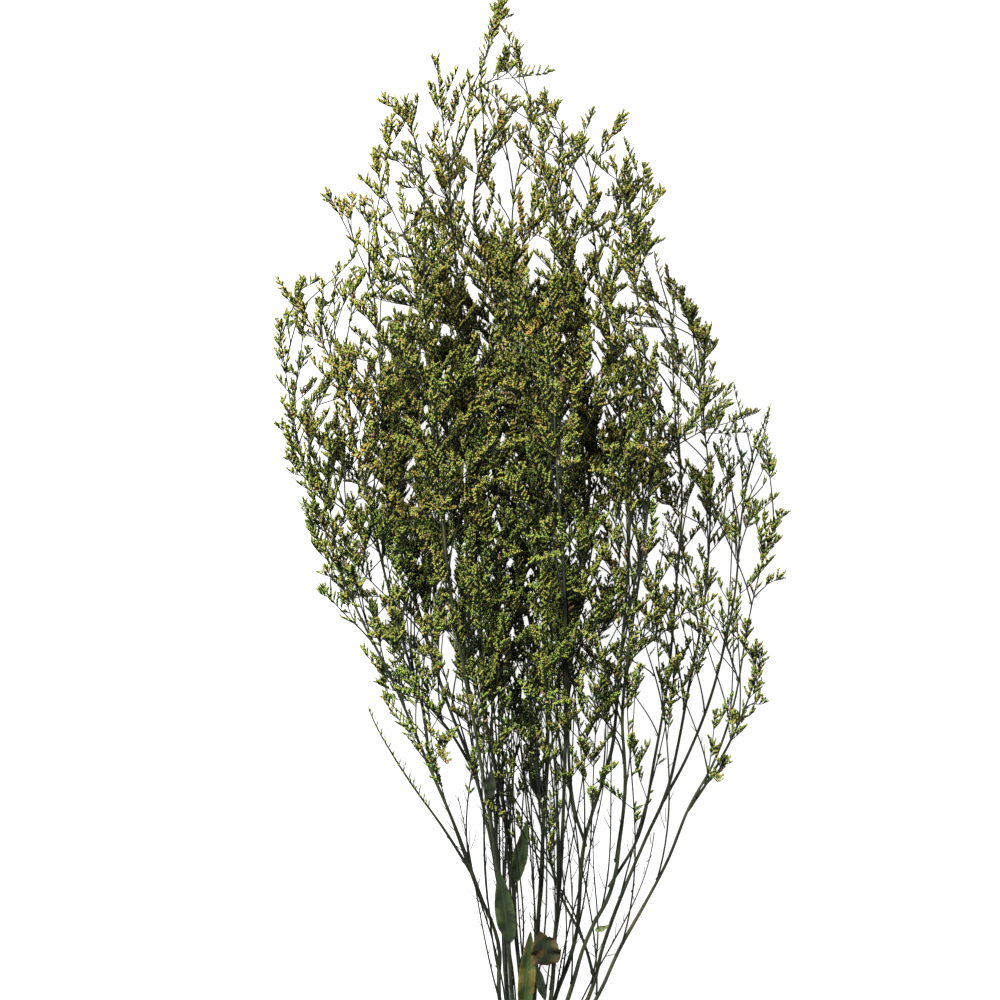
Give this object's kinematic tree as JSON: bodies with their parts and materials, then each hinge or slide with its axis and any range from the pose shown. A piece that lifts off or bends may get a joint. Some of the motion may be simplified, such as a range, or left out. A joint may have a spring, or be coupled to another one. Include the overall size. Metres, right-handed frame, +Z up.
{
  "type": "dried caspia bunch",
  "caption": "Tied bunch of dried caspia lying on its side: slender branched stems with airy sprays of tiny olive and orange-tipped florets, withered leaves and a rubber band.",
  "frame": {"origin": "middle of the bounding box's footprint, on the surface that the bunch lies on", "axes": "+Z up from the surface, +Y along the bunch from the cut ends to the flowering tips, +X to the right as seen from above with the tips away"},
  "size_m": [0.3096, 0.745, 0.1686],
  "materials": {
    "flowering_stem": "dry matt olive green, orange and tan at the florets",
    "green_leaf": "dry matt green",
    "olive_leaf": "dry matt olive",
    "brown_leaf": "dry matt dark brown",
    "rubber_band": "satin tan"
  },
  "bodies": {
    "root": {"stem_1": "flowering_stem", "stem_2": "flowering_stem", "stem_3": "flowering_stem", "stem_4": "flowering_stem", "stem_5": "flowering_stem", "stem_6": "flowering_stem", "stem_7": "flowering_stem", "stem_8": "flowering_stem", "stem_9": "flowering_stem", "stem_10": "flowering_stem", "leaf_1": "green_leaf", "leaf_2": "brown_leaf", "leaf_3": "olive_leaf", "leaf_4": "green_leaf", "leaf_5": "green_leaf", "leaf_6": "olive_leaf", "leaf_7": "green_leaf", "leaf_8": "green_leaf", "band": "rubber_band"}
  },
  "joints": []
}
